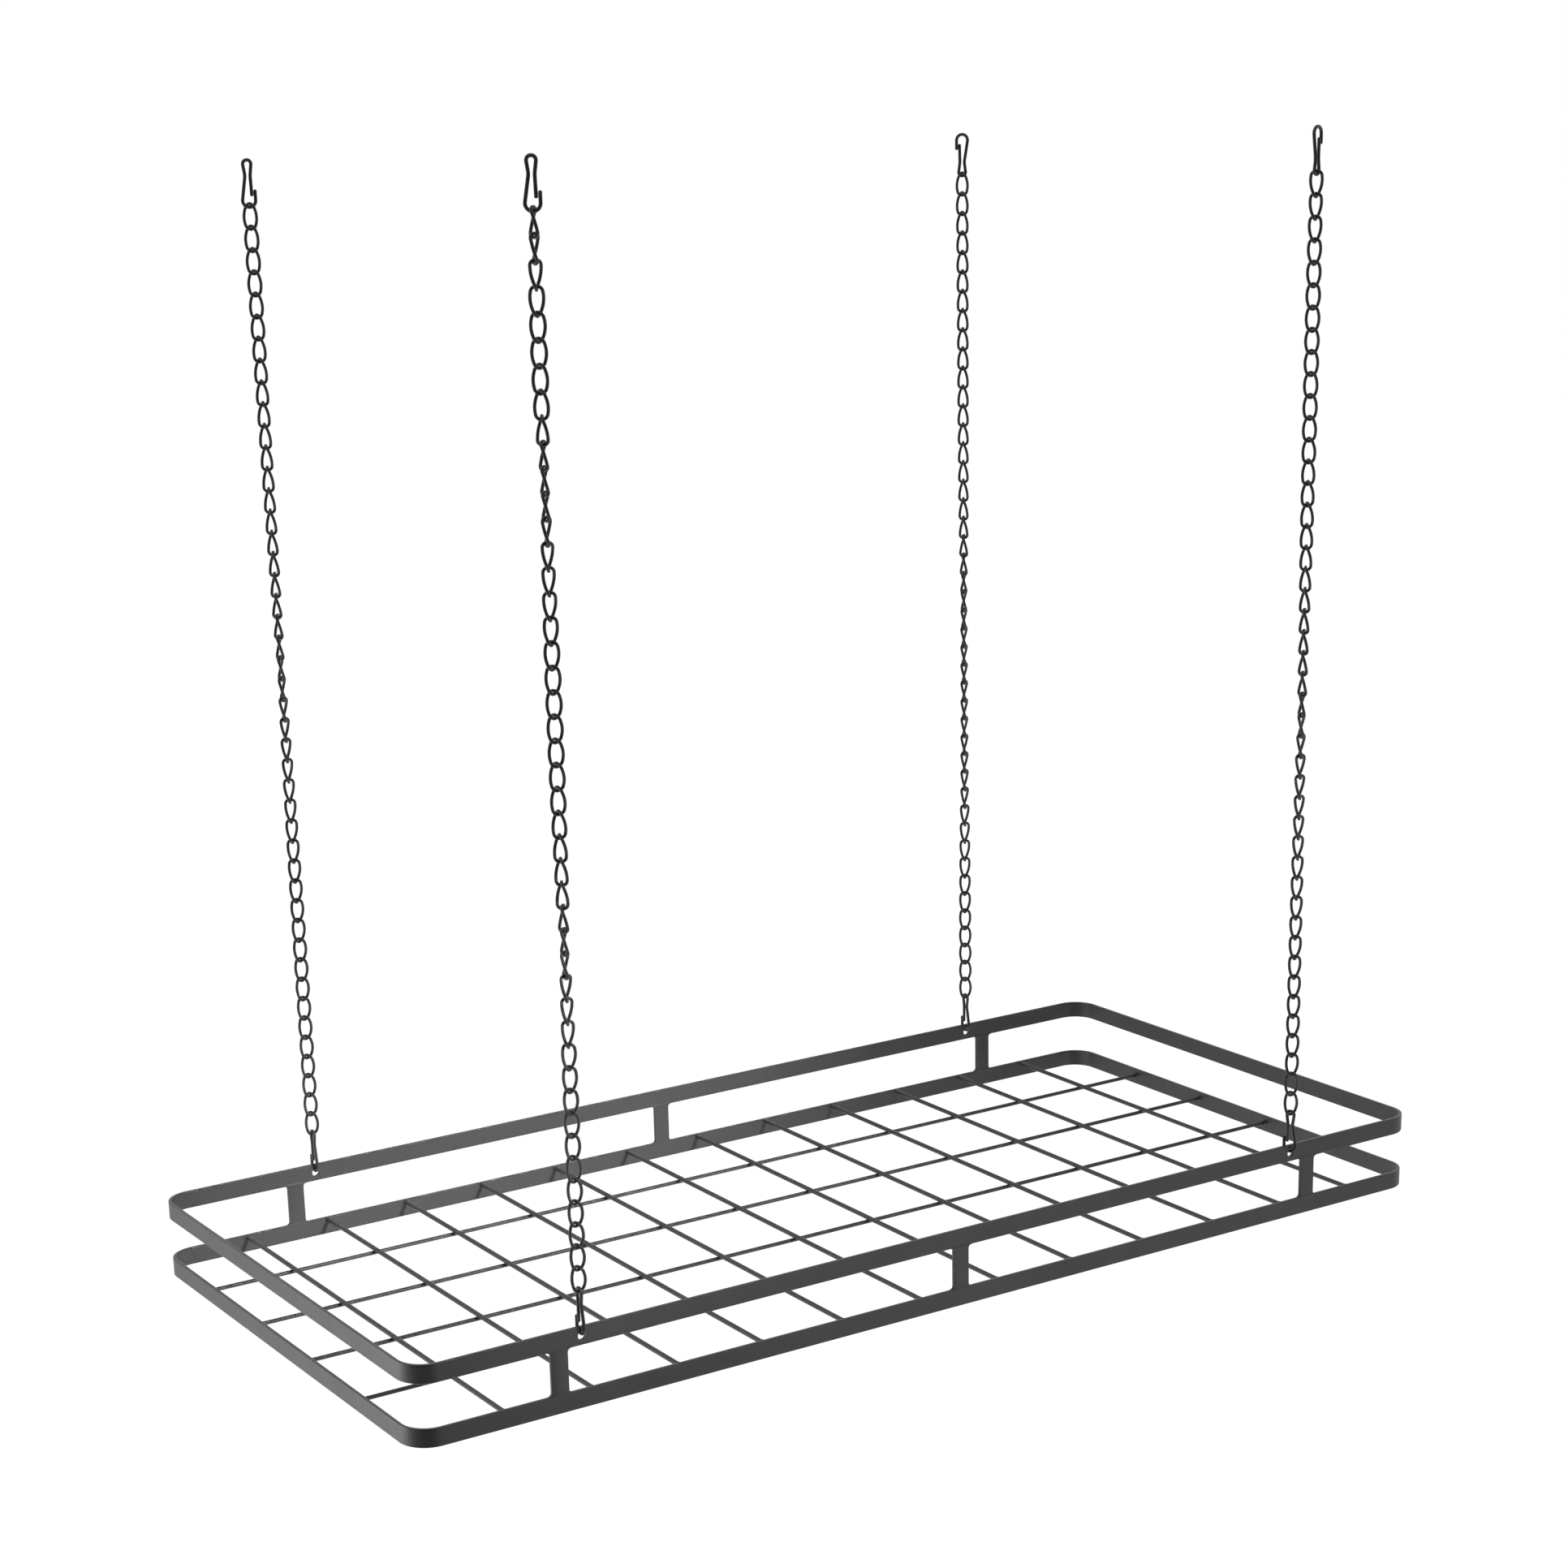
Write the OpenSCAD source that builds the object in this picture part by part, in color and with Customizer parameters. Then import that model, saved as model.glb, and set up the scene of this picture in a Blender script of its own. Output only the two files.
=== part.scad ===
// Hanging pot rack: two tiers of flat bar with a wire grid, hung on four
// chains of twisted links with a bent wire snap hook at each end.
// X runs along the rack, Y across it (-Y is the front) and Z up. The origin
// is the middle of the four points where ceiling hooks carry the top hooks.

/* [Frame] */
// Overall length of both frames
rack_length = 1000; // [500:10:1400]
// Overall width of both frames
rack_width = 470; // [300:10:700]
// Height of the flat bar, which stands on edge
bar_height = 15; // [12:1:30]
// Thickness of the flat bar
bar_thickness = 3; // [2:0.5:4]
// Outside radius of the bent corners
corner_radius = 24; // [12:1:60]
// Clear height between the two frames
tier_gap = 36; // [20:1:90]

/* [Posts] */
// Width of the flat bar posts between the frames
post_width = 15; // [8:1:25]
// Thickness of the posts
post_thickness = 3; // [2:0.5:4]
// From the end of the rack to the middle of the outer posts
post_inset = 125; // [60:1:125]
// Radius of the weld that rounds a post into the bars
post_fillet = 3; // [1:0.5:6]

/* [Grid] */
// Wires across the rack
cross_wire_count = 12; // [4:1:12]
// Thickness of the cross wires, which lie on top
cross_wire_d = 4; // [2:0.5:5]
// Wires along the rack
long_wire_count = 4; // [1:1:4]
// Thickness of the long wires
long_wire_d = 3.5; // [2:0.5:5]
// From the top edge of the lower frame down to the top of the cross wires
grid_drop = 0; // [0:0.5:4]

/* [Hanging holes] */
// Diameter of the four holes in the upper frame
hole_d = 7; // [6:0.5:8]
// From the end of the rack to the holes
hole_inset = 145; // [145:1:250]

/* [Chains] */
// Links in each chain
link_count = 45; // [8:1:60]
// Length that each link adds to the chain
link_pitch = 17.4; // [17:0.2:24]
// Thickness of the link wire
link_wire_d = 2.5; // [1.6:0.1:2.6]
// Outside width of a link's end bows
bow_width = 10.1; // [9.8:0.1:11.5]
// Width between the points where a link's straight sides would meet
side_width = 12.5; // [12:0.1:14]

/* [Snap hooks] */
// Outside length of a hook
hook_length = 39.2; // [38:0.2:56]
// Thickness of the hook wire
hook_wire_d = 2.8; // [2:0.1:2.9]
// Outside width of the large loop
large_loop_width = 13.8; // [13:0.1:16]
// Outside width of the small loop
small_loop_width = 9.7; // [9.6:0.1:12]
// Width between the two wires at the waist
waist_gap = 1.6; // [1.5:0.1:3]
// From the tip of the large loop to the waist
waist_height = 25.8; // [23.6:0.2:28]
// From the tip of the large loop to the end of the catch
catch_height = 15; // [13:0.1:18]
// From the tip of the large loop to the end of the sprung arm
arm_height = 9.6; // [8.4:0.1:10.8]

/* [Clearances] */
// Play where one wire bears on another
wire_play = 0.2; // [0.15:0.05:0.3]
// Play of a bottom hook's loop in its hole, which it needs where it hangs askew
seat_play = 0.5; // [0.45:0.05:0.8]
// Play round the sprung arm, at the catch and at its root
arm_play = 0.15; // [0.1:0.05:0.3]
// Gap that the weld fills between crossing wires of the grid
weld_gap = 0.1; // [0:0.05:0.3]

/* [Hidden] */
$fn = 24;

CORNERS = ["back_left", "front_left", "back_right", "front_right"];
function each_corner(name) = [for (c = CORNERS) str(name, "_", c)];
function counted(name, n) = [for (i = [1:n]) str(name, "_", i < 10 ? "0" : "", i)];
POSTS = ["post_front_left", "post_front_middle", "post_front_right",
         "post_back_left", "post_back_middle", "post_back_right"];

// Least thickness at the edge of a post's weld
weld_lip = 0.3;

steel = [0.20, 0.20, 0.21];
wire_steel = [0.16, 0.16, 0.17];
hook_steel = [0.14, 0.14, 0.15];

// Where the holes and the chains are, one for each corner
side_x = [-1, -1, 1, 1];
side_y = [1, -1, 1, -1];
hang_x = rack_length / 2 - hole_inset;
hang_y = (rack_width - bar_thickness) / 2;

// Heights of wire centres, from the ceiling downwards
hook_r = hook_wire_d / 2;
bearing = hook_r + link_wire_d / 2 + wire_play;
hook_span = hook_length - hook_wire_d;
bow_drop = link_pitch + link_wire_d + wire_play;
top_hook_low_z = hook_r - hook_span;
chain_top_z = top_hook_low_z + bearing;
chain_low_z = chain_top_z - bow_drop - (link_count - 1) * link_pitch;
bottom_hook_top_z = chain_low_z + bearing;
bottom_hook_low_z = bottom_hook_top_z - hook_span;

// Half-widths of the hook's wire, and the bends that leave a loop's tip flat
loop_flat = 0.3;
large_x = (large_loop_width - hook_wire_d) / 2;
small_x = (small_loop_width - hook_wire_d) / 2;
waist_x = (waist_gap + hook_wire_d) / 2;
waist_z = waist_height - hook_r;
large_r = large_x - loop_flat;
small_r = small_x - loop_flat;
waist_r = 12;

// The loop in the hole rises this much from the middle of the bar to its faces
seat_rise = large_r - sqrt(large_r ^ 2 - (bar_thickness / 2 - loop_flat) ^ 2);
seat_z = bottom_hook_low_z + hook_r + seat_rise + seat_play;
hole_z = round(100 * (seat_z - hole_d / 2)) / 100;
upper_frame_z = hole_z - bar_height / 2;
lower_frame_z = upper_frame_z - tier_gap - bar_height;
grid_top_z = lower_frame_z + bar_height - grid_drop;

// Turn about Z at which a hook or link at each corner is seen broadside from the left front
facing = [-24, -29, -37, -43];

// Plane of each hook, as a turn about Z. Where it is flipped, its large loop is up
top_hook_turn = [facing[0] + 20, facing[1] - 15, facing[2] + 25, facing[3] - 120];
top_hook_flipped = [false, false, true, true];
bottom_hook_turn = [90, 90, 90, 110];

// Twist of each chain: link number and turn, in between which the links turn evenly
chain_twist = [
    [[1, 10], [4, 14], [6, 22], [9, 38], [13, 48], [17, 60], [20, 72], [22, 88], [24, 106],
     [26, 120], [29, 136], [32, 150], [36, 168], [45, 185]],
    [[1, -100], [2, -78], [3, -50], [4, -25], [5, -12], [6, -3], [8, 25], [9, 55], [10, 80],
     [12, 88], [13, 105], [14, 125], [16, 140], [18, 162], [20, 178], [24, 200], [26, 220],
     [28, 230], [29, 252], [30, 265], [31, 278], [32, 300], [34, 315], [35, 335], [38, 352],
     [45, 360]],
    [[1, 18], [3, 28], [8, 38], [13, 42], [17, 52], [19, 60], [21, 76], [23, 90], [25, 98],
     [30, 102], [34, 110], [35, 122], [37, 136], [40, 153], [42, 168], [45, 178]],
    [[1, -31], [2, -34], [3, -28], [5, -12], [7, 0], [11, 8], [14, 28], [17, 36], [19, 50],
     [21, 64], [24, 72], [25, 85], [26, 95], [28, 115], [31, 122], [33, 134], [37, 146],
     [43, 160], [44, 172], [45, 176]]];

// ---- Bent wire ----

// Straight runs are this much thinner than bends and reach this far into them
run_step = 0.04;
run_lap = 0.06;

function unit(v) = v / norm(v);
function turn_between(u, v) = acos(max(-1, min(1, u * v)));
// From a corner to where its bend begins
function bend_start(a, b, c, r) = r * tan(turn_between(unit(b - a), unit(c - b)) / 2);
function bend_radius(a, b, c, start) = start / tan(turn_between(unit(b - a), unit(c - b)) / 2);

// Puts a shape's own X and Z along two square directions at a point
module set_at(origin, x_axis, z_axis) {
    y_axis = cross(z_axis, x_axis);
    multmatrix([
        [x_axis.x, y_axis.x, z_axis.x, origin.x],
        [x_axis.y, y_axis.y, z_axis.y, origin.y],
        [x_axis.z, y_axis.z, z_axis.z, origin.z],
        [0, 0, 0, 1]])
        children();
}

// The round bend at corner b on the way from a to c
module wire_bend(a, b, c, r, d) {
    u = unit(b - a);
    v = unit(c - b);
    angle = turn_between(u, v);
    centre = b + unit(v - u) * r / cos(angle / 2);
    start = b - u * r * tan(angle / 2);
    set_at(centre, unit(start - centre), unit(cross(u, v)))
        rotate_extrude(angle = angle)
            translate([r, 0])
                circle(d = d);
}

// A straight length of wire
module wire_run(from, to, d) {
    along = unit(to - from);
    side = abs(along.z) > 0.9 ? [1, 0, 0] : [0, 0, 1];
    set_at(from, unit(cross(side, along)), along)
        cylinder(h = norm(to - from), d = d);
}

// A wire along a list of corners, with a bend radius for each. A ring's last corner
// leads back to its first, and an open wire's two ends have a radius of 0
module bent_wire(points, radii, d, ring = false) {
    n = len(points);
    starts = [for (i = [0:n - 1]) radii[i] == 0
        ? 0
        : bend_start(points[(i + n - 1) % n], points[i], points[(i + 1) % n], radii[i])];
    for (i = [0:n - 1])
        if (radii[i] > 0)
            wire_bend(points[(i + n - 1) % n], points[i], points[(i + 1) % n], radii[i], d);
    for (i = [0:ring ? n - 1 : n - 2]) {
        j = (i + 1) % n;
        along = unit(points[j] - points[i]);
        from = points[i] + along * (starts[i] - (radii[i] > 0 ? run_lap : 0));
        to = points[j] - along * (starts[j] - (radii[j] > 0 ? run_lap : 0));
        wire_run(from, to, d - run_step);
    }
}

// ---- Frames, posts and grid ----

// A flat bar on edge, bent into a ring with round corners
module bar_ring() {
    straight_x = rack_length - 2 * corner_radius;
    straight_y = rack_width - 2 * corner_radius;
    for (s = [-1, 1]) {
        translate([-straight_x / 2, s * hang_y - bar_thickness / 2, 0])
            cube([straight_x, bar_thickness, bar_height]);
        translate([s * (rack_length - bar_thickness) / 2 - bar_thickness / 2, -straight_y / 2, 0])
            cube([bar_thickness, straight_y, bar_height]);
    }
    for (i = [0:3])
        translate([side_x[i] * straight_x / 2, side_y[i] * straight_y / 2, 0])
            rotate([0, 0, atan2(side_y[i], side_x[i]) - 45])
                rotate_extrude(angle = 90)
                    translate([corner_radius - bar_thickness, 0])
                        square([bar_thickness, bar_height]);
}

module upper_frame() {
    color(steel)
        translate([0, 0, upper_frame_z])
            difference() {
                bar_ring();
                for (i = [0:3])
                    translate([side_x[i] * hang_x, side_y[i] * hang_y, hole_z - upper_frame_z])
                        rotate([90, 0, 0])
                            cylinder(h = 2 * bar_thickness, d = hole_d, center = true);
            }
}

module lower_frame() {
    color(steel)
        translate([0, 0, lower_frame_z])
            bar_ring();
}

// Outline of half a post's side: straight, then a quarter round out to the bar
function post_edge(x, top, r, steps = 6) =
    [for (k = [0:steps]) [x + r - r * cos(90 * k / steps), top - r + r * sin(90 * k / steps)]];

// A post stands between the frames, flush with the outside of the bar
module post(index) {
    along = (index % 3 - 1) * (rack_length / 2 - post_inset);
    side = index < 3 ? -1 : 1;
    half_gap = tier_gap / 2;
    upper_right = concat(
        post_edge(post_width / 2, half_gap - weld_lip, post_fillet),
        [[post_width / 2 + post_fillet, half_gap]]);
    color(steel)
        translate([along, side * (rack_width - post_thickness) / 2, lower_frame_z + bar_height + half_gap])
            rotate([90, 0, 0])
                linear_extrude(height = post_thickness, center = true)
                    polygon(concat(
                        upper_right,
                        [for (i = [len(upper_right) - 1:-1:0]) [-upper_right[i].x, upper_right[i].y]],
                        [for (p = upper_right) -p],
                        [for (i = [len(upper_right) - 1:-1:0]) [upper_right[i].x, -upper_right[i].y]]));
}

// Cross wires lie on the long wires, and both end on the inside of the lower frame
module cross_wire(index) {
    x = rack_length * (index / (cross_wire_count + 1) - 0.5);
    z = grid_top_z - cross_wire_d / 2;
    y = rack_width / 2 - bar_thickness;
    color(wire_steel)
        wire_run([x, -y, z], [x, y, z], cross_wire_d);
}

module long_wire(index) {
    y = rack_width * (index / (long_wire_count + 1) - 0.5);
    z = grid_top_z - cross_wire_d - weld_gap - long_wire_d / 2;
    x = rack_length / 2 - bar_thickness;
    color(wire_steel)
        wire_run([-x, y, z], [x, y, z], long_wire_d);
}

// ---- Chains ----

// A link is an oval of wire, twisted so that its end bows are square to each other
module link() {
    half = bow_drop / 2;
    bow = (bow_width - link_wire_d) / 2;
    side = side_width / 2;
    upper = bow * [cos(45), -sin(45), 0];
    lower = bow * [cos(45), sin(45), 0];
    up = [0, 0, half];
    corners = [up - upper, up + upper, [side, 0, 0], lower - up, -lower - up, [-side, 0, 0]];
    bow_r = bend_radius(corners[0], corners[1], corners[2], bow - loop_flat);
    slope = norm(corners[2] - corners[1]);
    side_r = bend_radius(corners[1], corners[2], corners[3], slope - bow - loop_flat);
    bent_wire(corners, [bow_r, bow_r, side_r, bow_r, bow_r, side_r], link_wire_d, ring = true);
}

// Link number n of the chain at a corner, where it hangs
module chain_link(corner, n) {
    translate([
        side_x[corner] * hang_x,
        side_y[corner] * hang_y,
        chain_top_z - bow_drop / 2 - (n - 1) * link_pitch])
        rotate([0, 0, facing[corner] - lookup(n, chain_twist[corner])])
            link();
}

module top_link(corner) {
    color(wire_steel) chain_link(corner, 1);
}

module chain(corner) {
    color(wire_steel)
        for (n = [2:link_count]) chain_link(corner, n);
}

// ---- Snap hooks ----

// In the hook's own plane, the large loop's wire is at the origin and the catch on
// the right. The sides lean from the waist outwards until they touch the loops
function side_lean(r, height) =
    asin(r / norm([waist_x - loop_flat, height - r])) - atan((waist_x - loop_flat) / (height - r));

small_height = hook_span - waist_z;
large_corner = [waist_x + waist_z * tan(side_lean(large_r, waist_z)), 0, 0];
small_corner = [waist_x + small_height * tan(side_lean(small_r, small_height)), 0, hook_span];
waist = [waist_x, 0, waist_z];
arm_root = (small_corner + waist) / 2;

function mirrored(p) = [-p.x, p.y, p.z];

// The wire from the catch round both loops to the root of the sprung arm
module snap_hook_body() {
    root_gap = (hook_r + arm_play) * unit(small_corner - waist);
    bent_wire(
        [
            [large_x, 0, catch_height - hook_r],
            [large_x, 0, 0],
            mirrored(large_corner),
            mirrored(waist),
            mirrored(small_corner),
            small_corner,
            arm_root + root_gap],
        [0, large_r, large_r, waist_r, small_r, small_r, 0],
        hook_wire_d);
}

// The sprung arm turns about its round upper end and rests beside the catch
module snap_hook_arm() {
    translate(arm_root)
        sphere(d = hook_wire_d);
    bent_wire(
        [arm_root, waist, [large_x - hook_wire_d - arm_play, 0, arm_height - hook_r]],
        [0, waist_r, 0],
        hook_wire_d);
}

module at_top_hook(corner) {
    flipped = top_hook_flipped[corner];
    translate([side_x[corner] * hang_x, side_y[corner] * hang_y, flipped ? hook_r : top_hook_low_z])
        rotate([0, 0, top_hook_turn[corner]])
            rotate([0, flipped ? 180 : 0, 0])
                children();
}

module at_bottom_hook(corner) {
    translate([side_x[corner] * hang_x, side_y[corner] * hang_y, bottom_hook_low_z])
        rotate([0, 0, bottom_hook_turn[corner]])
            children();
}

// ---- Nodes ----

upper_frame();
lower_frame();
for (i = [0:5])
    post(i);
for (i = [1:cross_wire_count])
    cross_wire(i);
for (i = [1:long_wire_count])
    long_wire(i);
for (i = [0:3]) {
    color(hook_steel) at_top_hook(i) snap_hook_body();
    color(hook_steel) at_top_hook(i) snap_hook_arm();
    top_link(i);
    chain(i);
    color(hook_steel) at_bottom_hook(i) snap_hook_body();
    color(hook_steel) at_bottom_hook(i) snap_hook_arm();
}
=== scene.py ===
# A hanging pot rack: two rings of flat bar joined by six posts, a wire grid in the lower
# ring, four chains of twisted links and a bent wire snap hook at each end of each chain.
# X runs along the rack, Y across it to the back and Z up, in metres. The origin is the
# middle of the four points where the ceiling would carry the top hooks.
import math

import bmesh
import bpy
import numpy as np
from mathutils import Matrix, Vector


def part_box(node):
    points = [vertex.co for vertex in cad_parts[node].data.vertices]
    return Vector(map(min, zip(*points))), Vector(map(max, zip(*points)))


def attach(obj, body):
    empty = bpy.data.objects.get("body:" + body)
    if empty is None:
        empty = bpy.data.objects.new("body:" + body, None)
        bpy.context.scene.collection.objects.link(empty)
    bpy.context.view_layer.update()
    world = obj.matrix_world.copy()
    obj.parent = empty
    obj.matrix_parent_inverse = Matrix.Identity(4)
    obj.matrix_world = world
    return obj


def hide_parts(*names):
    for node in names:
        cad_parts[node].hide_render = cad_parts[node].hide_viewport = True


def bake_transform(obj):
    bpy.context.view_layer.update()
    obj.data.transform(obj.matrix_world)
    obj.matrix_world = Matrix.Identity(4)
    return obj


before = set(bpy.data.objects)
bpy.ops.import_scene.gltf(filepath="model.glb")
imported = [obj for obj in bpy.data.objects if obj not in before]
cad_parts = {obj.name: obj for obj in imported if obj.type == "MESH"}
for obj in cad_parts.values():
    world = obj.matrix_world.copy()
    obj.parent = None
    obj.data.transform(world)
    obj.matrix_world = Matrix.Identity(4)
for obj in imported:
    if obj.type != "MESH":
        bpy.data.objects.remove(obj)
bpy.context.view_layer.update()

# ---------------------------------------------------------------------------
# Camera. It stands to the left of the front, a few paces off and as high as the top
# hooks, and is held slightly out of level.

camera_data = bpy.data.cameras.new("camera")
camera_data.sensor_width = 36
camera_data.lens = 70.526
camera_data.shift_x = 0.0652
camera_data.shift_y = 0.1625
camera = bpy.data.objects.new("camera", camera_data)
camera_heading = math.radians(-31.25)
camera_drop = math.radians(16.59)
camera_roll = math.radians(-1.81)
camera.matrix_world = (
    Matrix.Translation((-1.4015, -2.1179, 0.0190))
    @ Matrix.Rotation(camera_heading, 4, "Z")
    @ Matrix.Rotation(math.pi / 2 - camera_drop, 4, "X")
    @ Matrix.Rotation(camera_roll, 4, "Z")
)
bpy.context.scene.collection.objects.link(camera)
bpy.context.scene.camera = camera

# ---------------------------------------------------------------------------
# Upper and lower frame. Each is one length of 15 x 3 flat steel bar bent on edge into
# a ring and welded shut, in matte dark grey powder coat. The bar's long edges are rounded
# from rolling, and they are painted darker along them as shade and made a little glossier.

MM = 0.001
corner_side = {"back_left": (-1, 1), "front_left": (-1, -1), "back_right": (1, 1), "front_right": (1, -1)}
# The quarters of a rounded outline, counter-clockwise: two signs and the angle where each begins
QUARTERS = ((1, -1, -90), (1, 1, 0), (-1, 1, 90), (-1, -1, 180))
BAR_THICKNESS = 3 * MM
CORNER_RADIUS = 24 * MM
EDGE_RADIUS = 0.45 * MM
HOLE_RADIUS = 3.5 * MM
HOLE_INSET = 145 * MM
SHARP_ANGLE = math.radians(40)
PEEL_CONTRAST = 0.30
# Painted shade: how much darker the rounded bar edges are coloured
EDGE_PAINTED_SHADE = 0.30
# Painted shade: how much darker the weld patch where post meets bar is coloured
WELD_PAINTED_SHADE = 0.16
WELD_LUMP_SIZE = 2.6
CLOUD_ROUGHNESS = 0.20
EDGE_SMOOTHING = 0.12
PEEL_HEIGHT = 0.35
WELD_HEIGHT = 2.0
coat_grey = (0.046, 0.046, 0.048)


def joined(nodes, links, operation, *values):
    """A Math node's result for the given numbers and sockets."""
    node = nodes.new("ShaderNodeMath")
    node.operation = operation
    for socket, value in zip(node.inputs, values):
        if isinstance(value, (int, float)):
            socket.default_value = value
        else:
            links.new(value, socket)
    return node.outputs[0]


def coat_group():
    """Powder coat: fine orange peel, broad clouds and a smoother line on the edges that is painted darker
    as shade.
    """
    group = bpy.data.node_groups.new("powder_coat", "ShaderNodeTree")
    face = group.interface
    colour_in = face.new_socket("Coat", in_out="INPUT", socket_type="NodeSocketColor")
    colour_in.default_value = (*coat_grey, 1)
    for label, value in (("Peel Size", 0.0011), ("Cloud Size", 0.045), ("Cloud Depth", 0.16),
                         ("Thin", 0.0), ("Weld", 0.0), ("Roughness", 0.50)):
        socket = face.new_socket(label, in_out="INPUT", socket_type="NodeSocketFloat")
        socket.default_value = value
    face.new_socket("Colour", in_out="OUTPUT", socket_type="NodeSocketColor")
    face.new_socket("Roughness", in_out="OUTPUT", socket_type="NodeSocketFloat")
    face.new_socket("Height", in_out="OUTPUT", socket_type="NodeSocketFloat")
    nodes, links = group.nodes, group.links
    given = nodes.new("NodeGroupInput")
    result = nodes.new("NodeGroupOutput")
    where = nodes.new("ShaderNodeTexCoord")

    def maths(operation, *values):
        return joined(nodes, links, operation, *values)

    def noise(size, detail, roughness=0.5):
        node = nodes.new("ShaderNodeTexNoise")
        links.new(where.outputs["Object"], node.inputs["Vector"])
        links.new(maths("DIVIDE", 1.0, size), node.inputs["Scale"])
        node.inputs["Detail"].default_value = detail
        node.inputs["Roughness"].default_value = roughness
        return node.outputs["Fac"]

    peel = noise(given.outputs["Peel Size"], detail=2)
    cloud = noise(given.outputs["Cloud Size"], detail=3, roughness=0.6)
    lump_size = maths("MULTIPLY", given.outputs["Peel Size"], WELD_LUMP_SIZE)
    weld_lumps = noise(lump_size, detail=2)
    cloud_middle = maths("SUBTRACT", cloud, 0.5)
    cloud_gain = maths("MULTIPLY_ADD", cloud_middle, given.outputs["Cloud Depth"], 1.0)
    peel_gain = maths("MULTIPLY_ADD", maths("SUBTRACT", peel, 0.5), PEEL_CONTRAST, 1.0)
    # Painted shade: the rounded edges are coloured darker
    edge_shade_gain = maths("MULTIPLY_ADD", given.outputs["Thin"], -EDGE_PAINTED_SHADE, 1.0)
    # Painted shade over the weld patch where post meets bar
    weld_shade_gain = maths("MULTIPLY_ADD", given.outputs["Weld"], -WELD_PAINTED_SHADE, 1.0)
    broad_gain = maths("MULTIPLY", cloud_gain, peel_gain)
    gain = maths("MULTIPLY", broad_gain, maths("MULTIPLY", edge_shade_gain, weld_shade_gain))
    shade = nodes.new("ShaderNodeVectorMath")
    shade.operation = "SCALE"
    links.new(given.outputs["Coat"], shade.inputs[0])
    links.new(gain, shade.inputs["Scale"])
    links.new(shade.outputs[0], result.inputs["Colour"])
    uneven = maths("MULTIPLY_ADD", cloud_middle, CLOUD_ROUGHNESS, given.outputs["Roughness"])
    smoothed = maths("MULTIPLY", given.outputs["Thin"], EDGE_SMOOTHING)
    links.new(maths("SUBTRACT", uneven, smoothed), result.inputs["Roughness"])
    weld_height = maths("MULTIPLY", maths("MULTIPLY", weld_lumps, given.outputs["Weld"]), WELD_HEIGHT)
    links.new(maths("ADD", maths("MULTIPLY", peel, PEEL_HEIGHT), weld_height), result.inputs["Height"])
    return group


def coat_material(name, coat, values, edge_shade_attribute=None, weld_and_shade_attribute=None, bump=0.06):
    """A material in the rack's powder coat. The attributes say where edges get painted shade and where the
    weld patch gets lumps and painted shade.
    """
    material = bpy.data.materials.new(name)
    material.use_nodes = True
    nodes, links = material.node_tree.nodes, material.node_tree.links
    shader = nodes["Principled BSDF"]
    coat_node = nodes.new("ShaderNodeGroup")
    coat_node.node_tree = powder_coat
    coat_node.inputs["Coat"].default_value = (*coat, 1)
    for label, value in values.items():
        coat_node.inputs[label].default_value = value
    for attribute, label in ((edge_shade_attribute, "Thin"), (weld_and_shade_attribute, "Weld")):
        if attribute:
            reader = nodes.new("ShaderNodeAttribute")
            reader.attribute_name = attribute
            links.new(reader.outputs["Fac"], coat_node.inputs[label])
    links.new(coat_node.outputs["Colour"], shader.inputs["Base Color"])
    links.new(coat_node.outputs["Roughness"], shader.inputs["Roughness"])
    relief = nodes.new("ShaderNodeBump")
    relief.inputs["Strength"].default_value = bump
    relief.inputs["Distance"].default_value = 0.1 * MM
    links.new(coat_node.outputs["Height"], relief.inputs["Height"])
    links.new(relief.outputs["Normal"], shader.inputs["Normal"])
    return material


def new_piece(name, mesh, material):
    """An object at the origin for a finished mesh, shaded smooth but for its sharp edges."""
    mesh.shade_smooth()
    mesh.set_sharp_from_angle(angle=SHARP_ANGLE)
    mesh.materials.clear()
    mesh.materials.append(material)
    piece = bpy.data.objects.new(name, mesh)
    bpy.context.scene.collection.objects.link(piece)
    return piece


def skin(build, name, rings, looped=False, caps=()):
    """The mesh over rings of a BMesh's vertices, closed into a loop or by faces on the rings in caps."""
    pairs = list(zip(rings, rings[1:]))
    if looped:
        pairs.append((rings[-1], rings[0]))
    for ring, after in pairs:
        for k in range(len(ring)):
            j = (k + 1) % len(ring)
            build.faces.new((ring[k], ring[j], after[j], after[k]))
    for ring in caps:
        build.faces.new(ring)
    bmesh.ops.recalc_face_normals(build, faces=build.faces)
    mesh = bpy.data.meshes.new(name)
    build.to_mesh(mesh)
    build.free()
    return mesh


def bar_section(width, height, arris):
    """Points round a flat bar's section as (across, up, edge shade). Its rounded edges get painted shade.
    """
    points = []
    for side, end, turn in QUARTERS:
        centre_x = side * (width / 2 - arris)
        centre_z = end * (height / 2 - arris)
        for angle in (turn, turn + 30, turn + 60, turn + 90):
            points.append((
                centre_x + arris * math.cos(math.radians(angle)),
                centre_z + arris * math.sin(math.radians(angle)),
                1.0))
        # A support point keeps the painted edge shade off the broad face up to the rounded edge
        inward = -end * 2 * arris
        if side * end > 0:
            points.insert(len(points) - 4, (side * width / 2, centre_z + inward, 0.0))
        else:
            points.append((side * width / 2, centre_z + inward, 0.0))
    return points


def ring_path(half_x, half_y, radius, steps=14):
    """Stations along a bar ring, counter-clockwise, as a centre to turn about and an outward angle."""
    stations = []
    for side_x, side_y, turn in QUARTERS:
        centre = (side_x * (half_x - radius), side_y * (half_y - radius))
        stations += [(centre, math.radians(turn + 90 * k / steps)) for k in range(steps + 1)]
    return stations


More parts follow.
